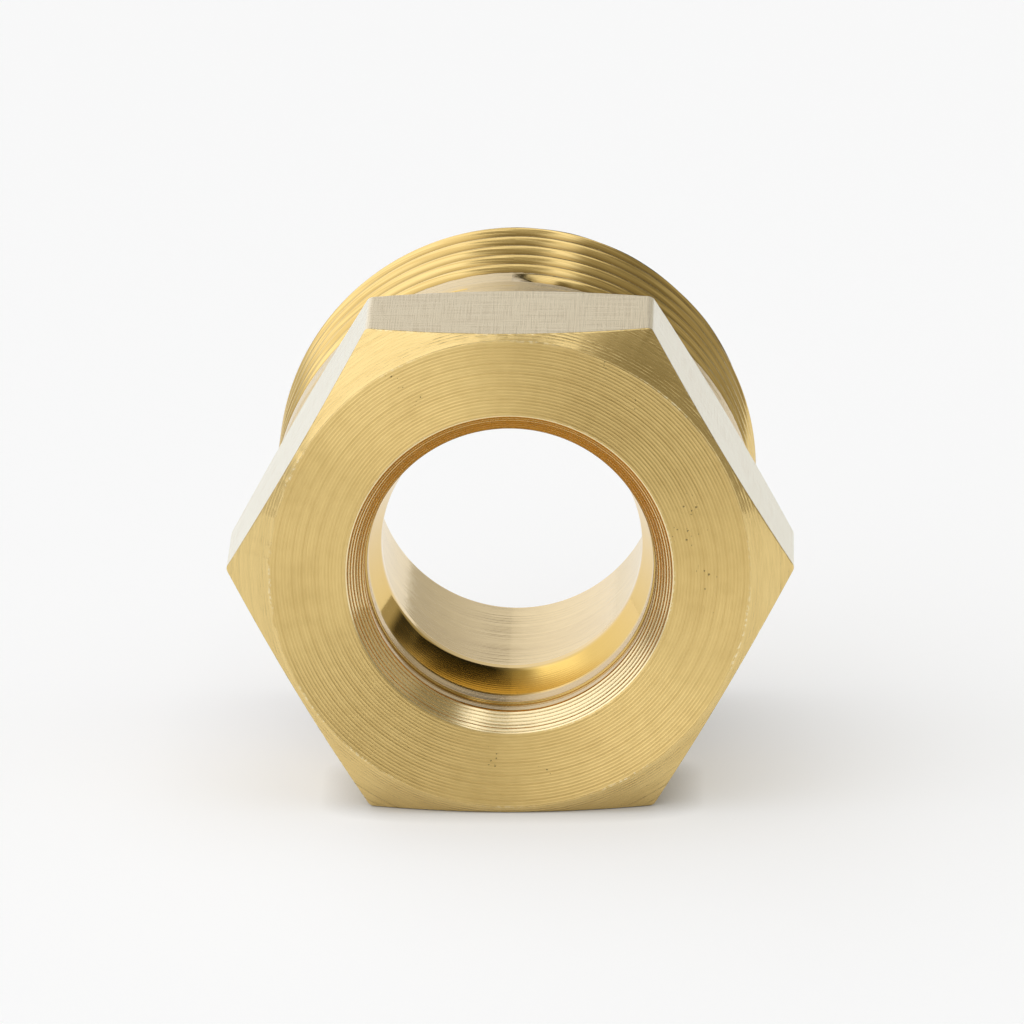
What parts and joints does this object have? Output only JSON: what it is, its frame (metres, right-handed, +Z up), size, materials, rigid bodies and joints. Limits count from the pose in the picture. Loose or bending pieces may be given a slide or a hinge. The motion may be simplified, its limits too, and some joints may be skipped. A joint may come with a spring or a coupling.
{
  "type": "bullnose nut",
  "caption": "One-piece brass gland nut: chamfered spanner hexagon, male threaded shank and stepped through bore with a narrow neck that holds a bullnose spigot.",
  "frame": {"origin": "on the bore's axis, in the plane where the hexagon meets the threaded shank", "axes": "+Y along the bore from the hexagon to the thread's end, +Z up through the middle of a flat, +X through a corner of the hexagon"},
  "size_m": [0.0256, 0.022, 0.0222],
  "materials": {
    "brass": "turned and drawn bare brass, fine tool lines"
  },
  "bodies": {
    "root": {"bullnose_nut": "brass"}
  },
  "joints": []
}
